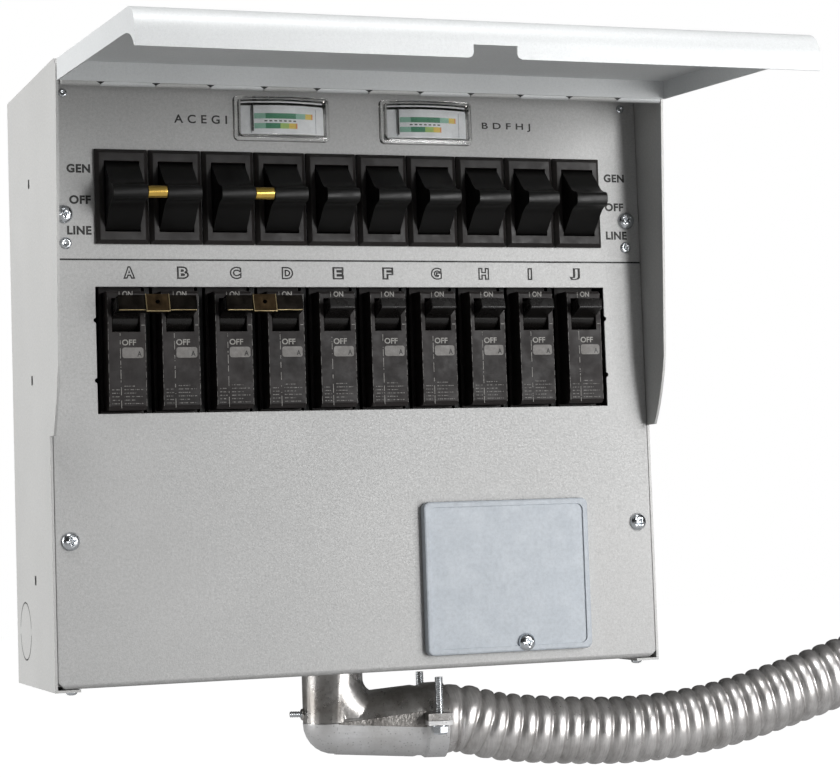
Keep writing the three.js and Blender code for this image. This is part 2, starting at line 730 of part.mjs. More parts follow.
const elbowFrame = new THREE.Group();
elbowFrame.position.set(ELBOW_X, ELBOW_Y, 0);
elbowFrame.rotation.z = -ELBOW_TURN;
assembly.add(elbowFrame);
const { casting, cap } = makeElbow();
add("conduit_elbow", casting, looks.casting, elbowFrame);
add("elbow_cap", cap, looks.casting, elbowFrame);

// ---------------------------------------------------------------- conduit

function alongBranch(distance) {
  const point = new THREE.Vector3(distance, 0, BRANCH_Z);
  point.applyAxisAngle(new THREE.Vector3(0, 0, 1), -ELBOW_TURN);
  return point.add(new THREE.Vector3(ELBOW_X, ELBOW_Y, 0));
}

// Centreline from the elbow's mouth to the free end.
const route = new THREE.CatmullRomCurve3([
  alongBranch(BRANCH_LENGTH + 2 * GAP),
  alongBranch(BRANCH_LENGTH + 10),
  new THREE.Vector3(100, -60, -216.5),
  new THREE.Vector3(140, -65.7, -221),
  new THREE.Vector3(190, -72.7, -222.8),
  new THREE.Vector3(236, -79, -218),
  new THREE.Vector3(280, -85, -207.5),
  new THREE.Vector3(324, -91, -194),
  new THREE.Vector3(380, -98, -175),
  new THREE.Vector3(440, -104, -155),
  new THREE.Vector3(500, -108, -138),
  new THREE.Vector3(560, -110, -126),
  new THREE.Vector3(610, -111, -120),
  new THREE.Vector3(652, -111, -117),
]);

function makeConduit() {
  return swept(route, CONDUIT_R, 12, 12);
}

function makeEndConnector() {
  const profile = [
    [16.5, 0], [24.6, 0], [24.6, 26], [28, 26], [28, 30], [19.5, 30],
    [19.5, 34], [26.5, 34], [26.5, 38], [19.5, 38], [19.5, 44], [16.5, 44], [16.5, 0],
  ];
  return turned(profile, 24, "y");
}

add("conduit", makeConduit(), looks.steel);
const connector = add("conduit_end_connector", makeEndConnector(), looks.casting);
const outward = route.getTangent(1);
connector.position.copy(route.getPoint(1)).addScaledVector(outward, GAP);
connector.quaternion.setFromUnitVectors(new THREE.Vector3(0, 1, 0), outward);

export default assembly;
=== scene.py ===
"""Manual transfer switch with an open lid: its materials, small fittings, lettering, light and camera."""

import math

import bpy
from mathutils import Matrix, Vector


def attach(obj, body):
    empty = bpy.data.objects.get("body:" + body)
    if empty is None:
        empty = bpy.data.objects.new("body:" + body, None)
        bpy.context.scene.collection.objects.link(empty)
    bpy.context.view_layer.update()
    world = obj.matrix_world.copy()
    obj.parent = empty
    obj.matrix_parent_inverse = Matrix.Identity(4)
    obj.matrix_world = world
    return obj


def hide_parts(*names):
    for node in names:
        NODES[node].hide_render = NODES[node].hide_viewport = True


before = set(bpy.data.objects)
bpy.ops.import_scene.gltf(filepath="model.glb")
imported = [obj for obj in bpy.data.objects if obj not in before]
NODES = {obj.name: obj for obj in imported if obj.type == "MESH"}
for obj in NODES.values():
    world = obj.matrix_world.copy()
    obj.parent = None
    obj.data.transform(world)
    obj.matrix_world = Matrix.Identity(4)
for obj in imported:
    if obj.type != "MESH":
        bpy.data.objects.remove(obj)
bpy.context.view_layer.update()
MM = 0.001
BASE = "base"

# ---------------------------------------------------------------- sizes, in millimetres

CIRCUITS = "abcdefghij"
TIED = ("ab", "cd")
PITCH = 31.75
FRONT = -114.3  # the panels' front face
SIDE = 187
HINGE_Y = FRONT - 38.5
HINGE_Z = 163.6
BARREL_RADIUS = 2
BARREL_SHIFT = -3.3
INK = 0.05  # how far printed lettering stands off its face
STROKE_DEPTH = 2  # millimetres of depth for each unit of an outlined letter's line

SEAM_Z = 68  # between the two panels
BREAKER_FACE = FRONT - 5.7
TOGGLE_Y = FRONT + 4.3
TOGGLE_Z = 35.5
TOGGLE_REACH = 21.8
TOGGLE_ON = math.radians(15.5)
METER_X = 45.4
METER_Z = 152.1
DIAL_RADIUS = 70
DIAL_PROUD = 6
KNOCKOUT_Y = -28
KNOCKOUT_Z = -145.5
KNOCKOUT_RADIUS = 17
GROOVE = 0.8  # width of the knock-out's ring
SIDE_SLOTS = ((-66, 118), (-64, 2), (-62, -115))  # y and z of each

CONDUIT_RADIUS = 21
RIB_PITCH = 9.8
RIB_DEPTHS = (2.9, 1.5, 0.62, 0.24, 0.07, 0.0, 0.0, 0.08, 0.3, 0.38, 0.75, 1.7)
RIB_STEP = RIB_PITCH / len(RIB_DEPTHS)
ELBOW_X = -2.3
ELBOW_Y = -46
ELBOW_TURN = math.radians(8)
BRANCH_Z = -210.5
BRANCH_LENGTH = 68.3
PARTING_Z = -208.5
HEEL_RADIUS = 18.4
BRANCH_ROOT = 22  # the branch's radius behind its ears
CONDUIT_ROUTE = (
    (100, -60, -216.5),
    (140, -65.7, -221),
    (190, -72.7, -222.8),
    (236, -79, -218),
    (280, -85, -207.5),
    (324, -91, -194),
    (380, -98, -175),
    (440, -104, -155),
    (500, -108, -138),
    (560, -110, -126),
    (610, -111, -120),
    (652, -111, -117),
)


def circuit_x(letter):
    return (CIRCUITS.index(letter) - (len(CIRCUITS) - 1) / 2) * PITCH


def in_elbow(x, y, z):
    """A point of the elbow's own frame, whose X runs along the branch."""
    turned = Matrix.Rotation(-ELBOW_TURN, 3, "Z") @ Vector((x, y, z))
    return turned + Vector((ELBOW_X, ELBOW_Y, 0))


# ---------------------------------------------------------------- camera

CAMERA_PLACE = Vector((-446.2, -1447.5, -86.4)) * MM
CAMERA_AZIMUTH = math.radians(19.88)
CAMERA_ELEVATION = math.radians(4.36)
CAMERA_ROLL = math.radians(-1.91)


def make_camera():
    data = bpy.data.cameras.new("camera")
    data.sensor_width = 36
    data.lens = 101.57
    data.shift_x = 0.0036
    data.shift_y = -0.0606
    camera = bpy.data.objects.new("camera", data)
    aim = Matrix.Rotation(-CAMERA_AZIMUTH, 4, "Z") @ Matrix.Rotation(math.pi / 2 + CAMERA_ELEVATION, 4, "X")
    camera.matrix_world = Matrix.Translation(CAMERA_PLACE) @ aim @ Matrix.Rotation(CAMERA_ROLL, 4, "Z")
    bpy.context.scene.collection.objects.link(camera)
    bpy.context.scene.camera = camera


make_camera()

# ---------------------------------------------------------------- node helpers


def node(tree, kind, settings=None, **sockets):
    """A shader node. Its sockets are named with underscores, and take values or other sockets."""
    made = tree.nodes.new(kind)
    for key, value in (settings or {}).items():
        setattr(made, key, value)
    for key, value in sockets.items():
        socket = made.inputs[key.replace("_", " ")]
        if isinstance(value, bpy.types.NodeSocket):
            tree.links.new(value, socket)
        else:
            socket.default_value = value
    return made


def grey(value):
    return (value, value, value, 1)


def tint(colour, factor=1.0):
    return tuple(min(1, c * factor) for c in colour) + (1,)


def coordinates(tree, stretch=(1, 1, 1), turn=(0, 0, 0)):
    """The piece's own coordinates in metres, stretched and turned."""
    place = node(tree, "ShaderNodeTexCoord").outputs["Object"]
    return node(tree, "ShaderNodeMapping", Vector=place, Scale=stretch, Rotation=turn).outputs[0]


def noise(tree, scale, detail=3.0, roughness=0.55, vector=None):
    vector = vector or coordinates(tree)
    made = node(tree, "ShaderNodeTexNoise", Vector=vector, Scale=scale, Detail=detail, Roughness=roughness)
    return made.outputs["Fac"]


def ramp(tree, factor, low, high, start=0.35, end=0.65):
    made = node(tree, "ShaderNodeValToRGB", Fac=factor)
    first, last = made.color_ramp.elements
    first.position, first.color = start, low
    last.position, last.color = end, high
    return made.outputs["Color"]


def multiply(tree, first, second, amount=1.0):
    made = node(tree, "ShaderNodeMix", {"data_type": "RGBA", "blend_type": "MULTIPLY"})
    made.inputs["Factor"].default_value = amount
    tree.links.new(first, made.inputs[6])
    tree.links.new(second, made.inputs[7])
    return made.outputs[2]


def mixed(tree, factor, first, second):
    made = node(tree, "ShaderNodeMix", {"data_type": "RGBA"})
    for socket, value in ((made.inputs["Factor"], factor), (made.inputs[6], first), (made.inputs[7], second)):
        if isinstance(value, bpy.types.NodeSocket):
            tree.links.new(value, socket)
        else:
            socket.default_value = value
    return made.outputs[2]


def bumped(tree, height, strength, distance, under=None):
    made = node(tree, "ShaderNodeBump", Height=height, Strength=strength, Distance=distance)
    if under is not None:
        tree.links.new(under, made.inputs["Normal"])
    return made.outputs["Normal"]


def new_material(name, **constants):
    """A node material with constants such as Metallic set on its shader."""
    material = bpy.data.materials.new(name)
    material.use_nodes = True
    tree = material.node_tree
    shader = tree.nodes["Principled BSDF"]
    for key, value in constants.items():
        shader.inputs[key.replace("_", " ")].default_value = value
    return material, tree, shader


def connect(tree, shader, **sockets):
    for key, socket in sockets.items():
        tree.links.new(socket, shader.inputs[key.replace("_", " ")])


# ---------------------------------------------------------------- materials


def powder_coat(name, colour, grain=0.10, metal=0.15, rough=(0.44, 0.6)):
    """Fine-textured baked paint with a faint speckle and slow drifts in tone."""
    material, tree, shader = new_material(name, Metallic=metal, Coat_Weight=0.08, Coat_Roughness=0.35)
    drift = ramp(tree, noise(tree, 9, 2), tint(colour, 0.965), tint(colour, 1.03))
    speckle = ramp(tree, noise(tree, 620, 4, 0.7), grey(1 - grain), grey(1))
    fleck = ramp(tree, noise(tree, 1900, 1), grey(1 - grain), grey(1), 0.3, 0.5)
    rub = ramp(tree, noise(tree, 60, 5, 0.65), grey(0.99), grey(1), 0.3, 0.55)
    paint = multiply(tree, multiply(tree, multiply(tree, drift, speckle), fleck), rub)
    roughness = ramp(tree, noise(tree, 900, 3), grey(rough[0]), grey(rough[1]))
    ripple = bumped(tree, noise(tree, 260, 2), 0.012, 0.0002)
    texture = bumped(tree, noise(tree, 1300, 2), 0.22, 0.00025, ripple)
    connect(tree, shader, Base_Color=paint, Roughness=roughness, Normal=texture)
    return material


def moulded(name, colour, rough=(0.35, 0.5), grain=900, depth=0.12, haze=0.25, gloss=0.4):
    """Injection-moulded plastic: fine mould texture, flow haze and light handling marks."""
    material, tree, shader = new_material(name, Specular_IOR_Level=gloss)
    flow = coordinates(tree, (14, 14, 60), (0.2, 0.3, 0))
    tone = ramp(tree, noise(tree, 1, 4, 0.6, flow), tint(colour, 1 - haze), tint(colour, 1 + haze), 0.3, 0.7)
    dust = ramp(tree, noise(tree, 420, 4, 0.7), grey(0.86), grey(1), 0.32, 0.6)
    roughness = ramp(tree, noise(tree, 130, 5, 0.65), grey(rough[0]), grey(rough[1]))
    texture = bumped(tree, noise(tree, grain, 2), depth, 0.0002)
    connect(tree, shader, Base_Color=multiply(tree, tone, dust), Roughness=roughness, Normal=texture)
    return material


def brushed(name, colour, rough=(0.22, 0.4), along=(40, 900, 900), tarnish=0.8, depth=0.1):
    """Metal with fine drawn lines and patches of dulled surface."""
    material, tree, shader = new_material(name, Metallic=1.0)
    lines = noise(tree, 1, 3, 0.6, coordinates(tree, along))
    patches = noise(tree, 55, 5, 0.6)
    tone = ramp(tree, patches, tint(colour, tarnish), tint(colour), 0.3, 0.6)
    streak = ramp(tree, lines, grey(0.82), grey(1), 0.3, 0.65)
    roughness = ramp(tree, patches, grey(rough[1]), grey(rough[0]), 0.3, 0.7)
    texture = bumped(tree, lines, depth, 0.0002)
    connect(tree, shader, Base_Color=multiply(tree, tone, streak), Roughness=roughness, Normal=texture)
    return material


def cast_metal(name, dark, bright, grain=0.2, rough=(0.24, 0.36), metal=1.0):
    """Die-cast surface: cloudy tone, chill marks, pits and a soft sheen."""
    material, tree, shader = new_material(name, Metallic=metal)
    clouds = noise(tree, 38, 6, 0.65)
    tone = ramp(tree, clouds, dark, bright, 0.3, 0.66)
    pits = node(tree, "ShaderNodeTexVoronoi", Vector=coordinates(tree), Scale=420).outputs["Distance"]
    pitted = ramp(tree, pits, grey(0.62), grey(1), 0.06, 0.24)
    roughness = ramp(tree, noise(tree, 90, 4), grey(rough[0]), grey(rough[1]), 0.3, 0.7)
    chill = bumped(tree, clouds, 0.1, 0.001)
    texture = bumped(tree, noise(tree, 520, 3), grain, 0.0004, chill)
    connect(tree, shader, Base_Color=multiply(tree, tone, pitted), Roughness=roughness, Normal=texture)
    return material


def conduit_metal(name):
    """Bright strip metal with rolling lines, small dents and a few darker patches."""
    material, tree, shader = new_material(name, Metallic=0.82)
    patches = noise(tree, 70, 5, 0.62)
    tone = ramp(tree, patches, (0.52, 0.5, 0.485, 1), (0.8, 0.78, 0.77, 1), 0.28, 0.6)
    rolled = noise(tree, 1, 3, 0.6, coordinates(tree, (1500, 90, 90)))
    streak = ramp(tree, rolled, grey(0.8), grey(1), 0.32, 0.62)
    roughness = ramp(tree, noise(tree, 160, 4), grey(0.27), grey(0.4), 0.3, 0.7)
    dents = bumped(tree, noise(tree, 210, 2), 0.06, 0.0005)
    texture = bumped(tree, rolled, 0.08, 0.0002, dents)
    connect(tree, shader, Base_Color=multiply(tree, tone, streak), Roughness=roughness, Normal=texture)
    return material


def tie_metal(name):
    """A strip with a browner saddle in the middle, whose ends are painted near-black as painted shade."""
    material, tree, shader = new_material(name, Metallic=1.0)
    place = node(tree, "ShaderNodeTexCoord").outputs["Generated"]
    along = node(tree, "ShaderNodeSeparateXYZ", Vector=place).outputs["X"]
    middle = node(tree, "ShaderNodeMath", {"operation": "SUBTRACT"})
    tree.links.new(along, middle.inputs[0])
    middle.inputs[1].default_value = 0.5
    distance = node(tree, "ShaderNodeMath", {"operation": "ABSOLUTE"})
    tree.links.new(middle.outputs[0], distance.inputs[0])
    mask = ramp(tree, distance.outputs[0], grey(1), grey(0), 0.135, 0.15)
    brass = ramp(tree, noise(tree, 160, 4), (0.03, 0.02, 0.011, 1), (0.075, 0.05, 0.026, 1))
    # The ends' near-black colour is painted shade.
    painted_shade_ends = ramp(tree, noise(tree, 120, 4), (0.007, 0.006, 0.005, 1), (0.022, 0.019, 0.016, 1))
    roughness = ramp(tree, noise(tree, 300, 3), grey(0.28), grey(0.45))
    texture = bumped(tree, noise(tree, 700, 2), 0.12, 0.0002)
    connect(tree, shader, Base_Color=mixed(tree, mask, painted_shade_ends, brass), Roughness=roughness, Normal=texture)
    return material


def clear_plastic(name):
    """Clear moulding that bends the view at its edges, with painted shade darkening it towards them, and lets
    light through to the dial.
    """
    material = bpy.data.materials.new(name)
    material.use_nodes = True
    tree = material.node_tree
    tree.nodes.remove(tree.nodes["Principled BSDF"])
    edge = node(tree, "ShaderNodeLayerWeight", Blend=0.5).outputs["Facing"]
    haze = ramp(tree, noise(tree, 90, 3), (0.93, 0.93, 0.925, 1), (0.985, 0.985, 0.98, 1))
    # The haze, darkened towards grazing angles as painted shade for the dark lines along the moulding's
    # edges.
    haze_and_painted_edge_shade = multiply(tree, haze, ramp(tree, edge, grey(1), (0.4, 0.385, 0.37, 1), 0.2, 0.7))
    flow = bumped(tree, noise(tree, 130, 2), 0.04, 0.0003)
    inside = node(tree, "ShaderNodeBsdfRefraction", Color=haze_and_painted_edge_shade, Roughness=0.02, IOR=1.49)
    skin = node(tree, "ShaderNodeBsdfGlossy", Color=grey(1), Roughness=0.05, Normal=flow)
    fresnel = node(tree, "ShaderNodeFresnel", IOR=1.55)
    bent = node(tree, "ShaderNodeMixShader", Fac=fresnel.outputs[0])
    tree.links.new(inside.outputs[0], bent.inputs[1])
    tree.links.new(skin.outputs[0], bent.inputs[2])
    through = node(tree, "ShaderNodeBsdfTransparent", Color=grey(0.97))
    path = node(tree, "ShaderNodeLightPath")
    lighting = node(tree, "ShaderNodeMath", {"operation": "MAXIMUM"})
    tree.links.new(path.outputs["Is Shadow Ray"], lighting.inputs[0])
    tree.links.new(path.outputs["Is Diffuse Ray"], lighting.inputs[1])
    both = node(tree, "ShaderNodeMixShader", Fac=lighting.outputs[0])
    tree.links.new(bent.outputs[0], both.inputs[1])
    tree.links.new(through.outputs[0], both.inputs[2])
    tree.links.new(both.outputs[0], tree.nodes["Material Output"].inputs["Surface"])
    return material


def printed(name, colour, wear=0.25, rough=(0.45, 0.65)):
    """Screen-printed ink or a paper label, a little uneven in density."""
    material, tree, shader = new_material(name)
    density = ramp(tree, noise(tree, 500, 4, 0.7), tint(colour, 1 - wear), tint(colour, 1 + wear), 0.3, 0.7)
    roughness = ramp(tree, noise(tree, 200, 3), grey(rough[0]), grey(rough[1]))
    texture = bumped(tree, noise(tree, 900, 2), 0.1, 0.0001)
    connect(tree, shader, Base_Color=density, Roughness=roughness, Normal=texture)
    return material


body_paint = powder_coat("body_paint", (0.56, 0.56, 0.55))
panel_paint = powder_coat("panel_paint", (0.52, 0.52, 0.515), grain=0.14)
# The body's paint made a touch bluer and much lighter; the extra lightness is painted light for the light the
# lid catches.
lid_paint = powder_coat("lid_paint", (0.69, 0.705, 0.71), grain=0.06)
housing_plastic = moulded("housing_plastic", (0.017, 0.0145, 0.0138), (0.42, 0.6), 700, 0.2, 0.25, 0.35)
rocker_plastic = moulded("rocker_plastic", (0.0055, 0.0052, 0.005), (0.3, 0.42), 1100, 0.08, 0.25, 0.22)
breaker_plastic = moulded("breaker_plastic", (0.02, 0.0165, 0.016), (0.44, 0.6), 650, 0.22, 0.35, 0.25)
toggle_plastic = moulded("toggle_plastic", (0.009, 0.008, 0.0075), (0.22, 0.36), 900, 0.1, 0.25, 0.35)
base_plastic = moulded("base_plastic", (0.01, 0.01, 0.01), (0.5, 0.7))
plate_plastic = moulded("plate_plastic", (0.56, 0.605, 0.655), (0.38, 0.52), 800, 0.06, 0.025)
dial_paper = printed("dial_paper", (0.92, 0.94, 0.96), 0.02)
brass = brushed("brass", (0.83, 0.55, 0.13), (0.16, 0.3), (60, 1200, 1200), 0.9)
zinc = brushed("zinc", (0.76, 0.79, 0.82), (0.14, 0.28), (300, 300, 300), 0.8, 0.06)
casting = cast_metal("casting", (0.3, 0.28, 0.26, 1), (0.66, 0.65, 0.64, 1))
# A lighter, less metallic copy of the casting for the cap: its brightness is painted light for the bright
# floor it reflects.
cap_casting_painted_light = cast_metal("cap_casting_painted_light", (0.62, 0.61, 0.6, 1), (0.82, 0.82, 0.83, 1), 0.3, (0.3, 0.42), 0.55)
rough_casting = cast_metal("rough_casting", (0.16, 0.15, 0.14, 1), (0.5, 0.48, 0.46, 1), 0.9, (0.35, 0.55))
strip_metal = conduit_metal("strip_metal")
tie_strip = tie_metal("tie_strip")
lens_plastic = clear_plastic("lens_plastic")
black_ink = printed("black_ink", (0.02, 0.019, 0.018))
pale_ink = printed("pale_ink", (0.3, 0.29, 0.27))
label_paper = printed("label_paper", (0.19, 0.18, 0.17), 0.18)
# Black for painted shadows laid over gaps, slots, grooves and notches that are in shade.
painted_gap_shadow = printed("painted_gap_shadow", (0.01, 0.01, 0.01))
bar_pale = printed("bar_pale", (0.28, 0.55, 0.42), 0.08)
bar_green = printed("bar_green", (0.015, 0.22, 0.1), 0.08)
bar_yellow = printed("bar_yellow", (0.85, 0.62, 0.08), 0.08)
bar_lime = printed("bar_lime", (0.4, 0.62, 0.14), 0.08)
bar_orange = printed("bar_orange", (0.8, 0.28, 0.06), 0.08)
rule_ink = printed("rule_ink", (0.3, 0.32, 0.35), 0.1)
seam_ink = printed("seam_ink", (0.26, 0.25, 0.235), 0.4)
# Faint print, and the breakers' light edge lines, which are partly rubbed wear and partly painted highlight.
faint_ink_and_edge_highlight = printed("faint_ink_and_edge_highlight", (0.15, 0.143, 0.135), 0.5)
# Lighter metal for the painted highlights along the tie clips' edges.
tie_edge_highlight = brushed("tie_edge_highlight", (0.6, 0.47, 0.26), (0.25, 0.4), (60, 1200, 1200), 0.5)

# ---------------------------------------------------------------- mesh helpers


def link_mesh(name, vertices, faces, material, body, slot, smooth=False):
    """A new piece from millimetre vertices that rides on a body."""
    mesh = bpy.data.meshes.new(name)
    mesh.from_pydata([tuple(c * MM for c in v) for v in vertices], [], faces)
    mesh.validate()
    mesh.materials.append(material)
    mesh.polygons.foreach_set("use_smooth", [smooth] * len(mesh.polygons))
    mesh.update()
    piece = bpy.data.objects.new(name, mesh)
    bpy.context.scene.collection.objects.link(piece)
    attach(piece, body)
    return piece


def turned_to(centre, axis, spin=0.0):
    """The matrix that stands a piece's +Z along axis at centre, in millimetres."""
    turn = Vector((0, 0, 1)).rotation_difference(Vector(axis)).to_matrix()
    spun = turn @ Matrix.Rotation(spin, 3, "Z")
    return Matrix.Translation(Vector(centre)) @ spun.to_4x4()


def lathe(profile, sides):
    """Vertices and faces of a profile of (radius, height) turned about Z. It starts and ends on the axis."""
    vertices, faces = [], []
    for radius, height in profile[1:-1]:
        for i in range(sides):
            angle = 2 * math.pi * i / sides
            vertices.append((radius * math.cos(angle), radius * math.sin(angle), height))
    rings = len(profile) - 2
    for ring in range(rings - 1):
        for i in range(sides):
            a, b = ring * sides + i, ring * sides + (i + 1) % sides
            faces.append((a, b, b + sides, a + sides))
    first, last = len(vertices), len(vertices) + 1
    vertices += [(0, 0, profile[0][1]), (0, 0, profile[-1][1])]
    top = (rings - 1) * sides
    for i in range(sides):
        j = (i + 1) % sides
        faces.append((first, j, i))
        faces.append((last, top + i, top + j))
    return vertices, faces


def turned_piece(name, profile, sides, centre, axis, material, body, slot, smooth=True, spin=0.0):
    vertices, faces = lathe(profile, sides)
    place = turned_to(centre, axis, spin)
    moved = [tuple(place @ Vector(v)) for v in vertices]
    return link_mesh(name, moved, faces, material, body, slot, smooth)


def block(size, centre):
    """Vertices and faces of a box."""
    corners = [(x, y, z) for x in (-0.5, 0.5) for y in (-0.5, 0.5) for z in (-0.5, 0.5)]
    vertices = [tuple(c + s * k for c, s, k in zip(centre, size, corner)) for corner in corners]
    faces = [(0, 1, 3, 2), (4, 6, 7, 5), (0, 4, 5, 1), (2, 3, 7, 6), (0, 2, 6, 4), (1, 5, 7, 3)]
    return vertices, faces


def joined_blocks(boxes):
    """Vertices and faces of many boxes, each (x0, x1, y0, y1, z0, z1)."""
    vertices, faces = [], []
    for x0, x1, y0, y1, z0, z1 in boxes:
        size = (x1 - x0, y1 - y0, z1 - z0)
        corners, sides = block(size, ((x0 + x1) / 2, (y0 + y1) / 2, (z0 + z1) / 2))
        faces += [tuple(i + len(vertices) for i in side) for side in sides]
        vertices += corners
    return vertices, faces


def softened(piece, width):
    """Small bevels on a piece's sharp edges."""
    bevel = piece.modifiers.new("bevel", "BEVEL")
    bevel.width = width * MM
    bevel.segments = 2
    bevel.limit_method = "ANGLE"
    bevel.angle_limit = math.radians(30)
    piece.modifiers.new("normals", "WEIGHTED_NORMAL").keep_sharp = True
    return piece


def carve(piece, vertices, faces, place):
    """Cuts a solid out of a piece for good."""
    mesh = bpy.data.meshes.new("cutter")
    mesh.from_pydata([tuple((place @ Vector(v)) * MM) for v in vertices], [], faces)
    cutter = bpy.data.objects.new("cutter", mesh)
    bpy.context.scene.collection.objects.link(cutter)
    cut = piece.modifiers.new("cut", "BOOLEAN")
    cut.object = cutter
    cut.solver = "EXACT"
    bpy.context.view_layer.update()
    done = piece.evaluated_get(bpy.context.evaluated_depsgraph_get())
    carved = bpy.data.meshes.new_from_object(done)
    piece.modifiers.remove(cut)
    piece.data = carved
    bpy.data.objects.remove(cutter)
    return piece


# ---------------------------------------------------------------- conduit


def centripetal(points, samples):
    """Points on the centripetal Catmull-Rom curve through the given points."""
    ends = [points[0] * 2 - points[1], *points, points[-1] * 2 - points[-2]]
    found = []
    for i in range(1, len(ends) - 2):
        p0, p1, p2, p3 = ends[i - 1 : i + 3]
        d0, d1, d2 = ((b - a).length ** 0.5 for a, b in ((p0, p1), (p1, p2), (p2, p3)))
        start = ((p1 - p0) / d0 - (p2 - p0) / (d0 + d1) + (p2 - p1) / d1) * d1
        finish = ((p2 - p1) / d1 - (p3 - p1) / (d1 + d2) + (p3 - p2) / d2) * d1
        for k in range(samples):
            t = k / samples
            cubic = (p1 - p2) * 2 + start + finish
            square = (p2 - p1) * 3 - start * 2 - finish
            found.append(p1 + start * t + square * t**2 + cubic * t**3)
    return [*found, points[-1]]


def even_steps(points, step):
    """The same line as points that are one step apart."""
    found, travelled = [points[0]], 0.0
    for a, b in zip(points, points[1:]):
        length = (b - a).length
        while length and travelled + length >= step:
            a = a + (b - a) * ((step - travelled) / length)
            length = (b - a).length
            travelled = 0.0
            found.append(a)
        travelled += length
    return found


def frames_along(points):
    """Two side directions at each point, carried along the line without twist."""
    first = (points[1] - points[0]).normalized()
    side = Vector((0, 0, 1)) if abs(first.z) < 0.9 else Vector((1, 0, 0))  # off the line's own direction
    found = []
    for i in range(len(points)):
        ahead = (points[min(i + 1, len(points) - 1)] - points[max(i - 1, 0)]).normalized()
        side = (side - ahead * side.dot(ahead)).normalized()
        found.append((side, ahead.cross(side)))
    return found


def wound_depth(depths, ring, turn):
    """The groove's depth at a ring and a share of a turn. One turn moves the depths on by one full pitch."""
    place = (ring + turn * len(depths)) % len(depths)
    low = int(place)
    share = place - low
    return depths[low] * (1 - share) + depths[(low + 1) % len(depths)] * share


def wound_tube(points, sides, radius, depths):
    """Vertices and faces of a tube with a helical groove. depths are one pitch of it, a point apart."""
    vertices, faces = [], []
    for i, (point, (up, across)) in enumerate(zip(points, frames_along(points))):
        for j in range(sides):
            angle = 2 * math.pi * j / sides
            reach = radius - wound_depth(depths, i, j / sides)
            vertices.append(tuple(point + (up * math.cos(angle) + across * math.sin(angle)) * reach))
    for i in range(len(points) - 1):
        for j in range(sides):
            a, b = i * sides + j, i * sides + (j + 1) % sides
            faces.append((a, b, b + sides, a + sides))
    faces.append(tuple(reversed(range(sides))))
    faces.append(tuple(range(len(vertices) - sides, len(vertices))))
    return vertices, faces


def make_conduit():
    """The corrugated tube in place of the CAD's plain bar, from the elbow to the end connector."""
    start = in_elbow(BRANCH_LENGTH + 0.6, 0, BRANCH_Z)
    straight = in_elbow(BRANCH_LENGTH + 10, 0, BRANCH_Z)
    route = centripetal([start, straight, *(Vector(p) for p in CONDUIT_ROUTE)], 40)
    rings = even_steps(route, RIB_STEP)
    vertices, faces = wound_tube(rings, 44, CONDUIT_RADIUS, RIB_DEPTHS)
    conduit = link_mesh("conduit_corrugated", vertices, faces, strip_metal, BASE, "conduit_metal", True)
    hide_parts("conduit")


make_conduit()

# ---------------------------------------------------------------- looks of the CAD nodes


def dress(name, material, bevel=0.3):
    """A CAD node gets its material, smooth shading and soft edges."""
    piece = NODES[name]
    piece.data.materials.clear()
    piece.data.materials.append(material)
    piece.data.polygons.foreach_set("use_smooth", [True] * len(piece.data.polygons))
    piece.data.polygons.foreach_set("material_index", [0] * len(piece.data.polygons))
    piece.modifiers.new("weld", "WELD").merge_threshold = 0.002 * MM
    return softened(piece, bevel)


dress("enclosure", body_paint, 0.35)
dress("switch_panel", panel_paint, 0.25)
dress("front_cover", panel_paint, 0.3)
dress("lid", lid_paint, 0.3)
dress("inlet_cover_plate", plate_plastic, 0.35)
dress("breaker_base", base_plastic)
dress("conduit_elbow", casting, 0.9)
dress("elbow_cap", cap_casting_painted_light, 0.9)
dress("conduit_end_connector", casting, 0.4)
for letter in CIRCUITS:
    dress(f"switch_housing_{letter}", housing_plastic, 0.35)
    dress(f"rocker_{letter}", rocker_plastic, 0.6)
    dress(f"breaker_{letter}", breaker_plastic, 0.35)
    dress(f"breaker_toggle_{letter}", toggle_plastic, 0.6)
for pair in TIED:
    dress(f"rocker_tie_{pair}", brass, 0.25)
    dress(f"breaker_tie_{pair}", tie_strip, 0.2)
for side in ("left", "right"):
    dress(f"meter_case_{side}", dial_paper, 0.3)
    dress(f"meter_lens_{side}", lens_plastic, 0.5)
    dress(f"meter_needle_{side}", black_ink, 0.1)

# ---------------------------------------------------------------- screws, rivets and bolts

# Profiles are (radius, height), turned about the axis.
PAN_HEAD = (
    (0, -1.2),
    (1.6, -1.2),
    (1.6, -0.1),
    (3.7, 0),
    (3.75, 0.5),
    (3.4, 1.3),
    (2.6, 1.95),
    (1.4, 2.3),
    (0, 2.4),
)
RIVET_HEAD = (
    (0, -1),
    (1.5, -1),
    (1.5, -0.1),
    (2.6, 0),
    (2.5, 0.35),
    (1.9, 0.8),
    (1.1, 1.0),
    (0.9, 0.5),
    (0, 0.4),
)
PLATE_BOSS = ((0, -1), (4.6, -1), (4.9, 0), (4.7, 0.5), (0, 0.5))
WASHER = ((0, 0), (5.4, 0), (5.4, 0.9), (5.0, 1.2), (0, 1.2))
WASHER_THICK = 1.2
NECK_BOSS = ((0, 0), (3.6, 0), (3.6, 1.4), (3.0, 1.9), (0, 1.9))
THREAD_PITCH = 1.1
THREAD_DEPTHS = (0, 0.28, 0.45, 0.28)
SCREW_X = 176.4
RIVET_X = 175.5
FORWARD = (0, -1, 0)
DOWN = (0, 0, -1)


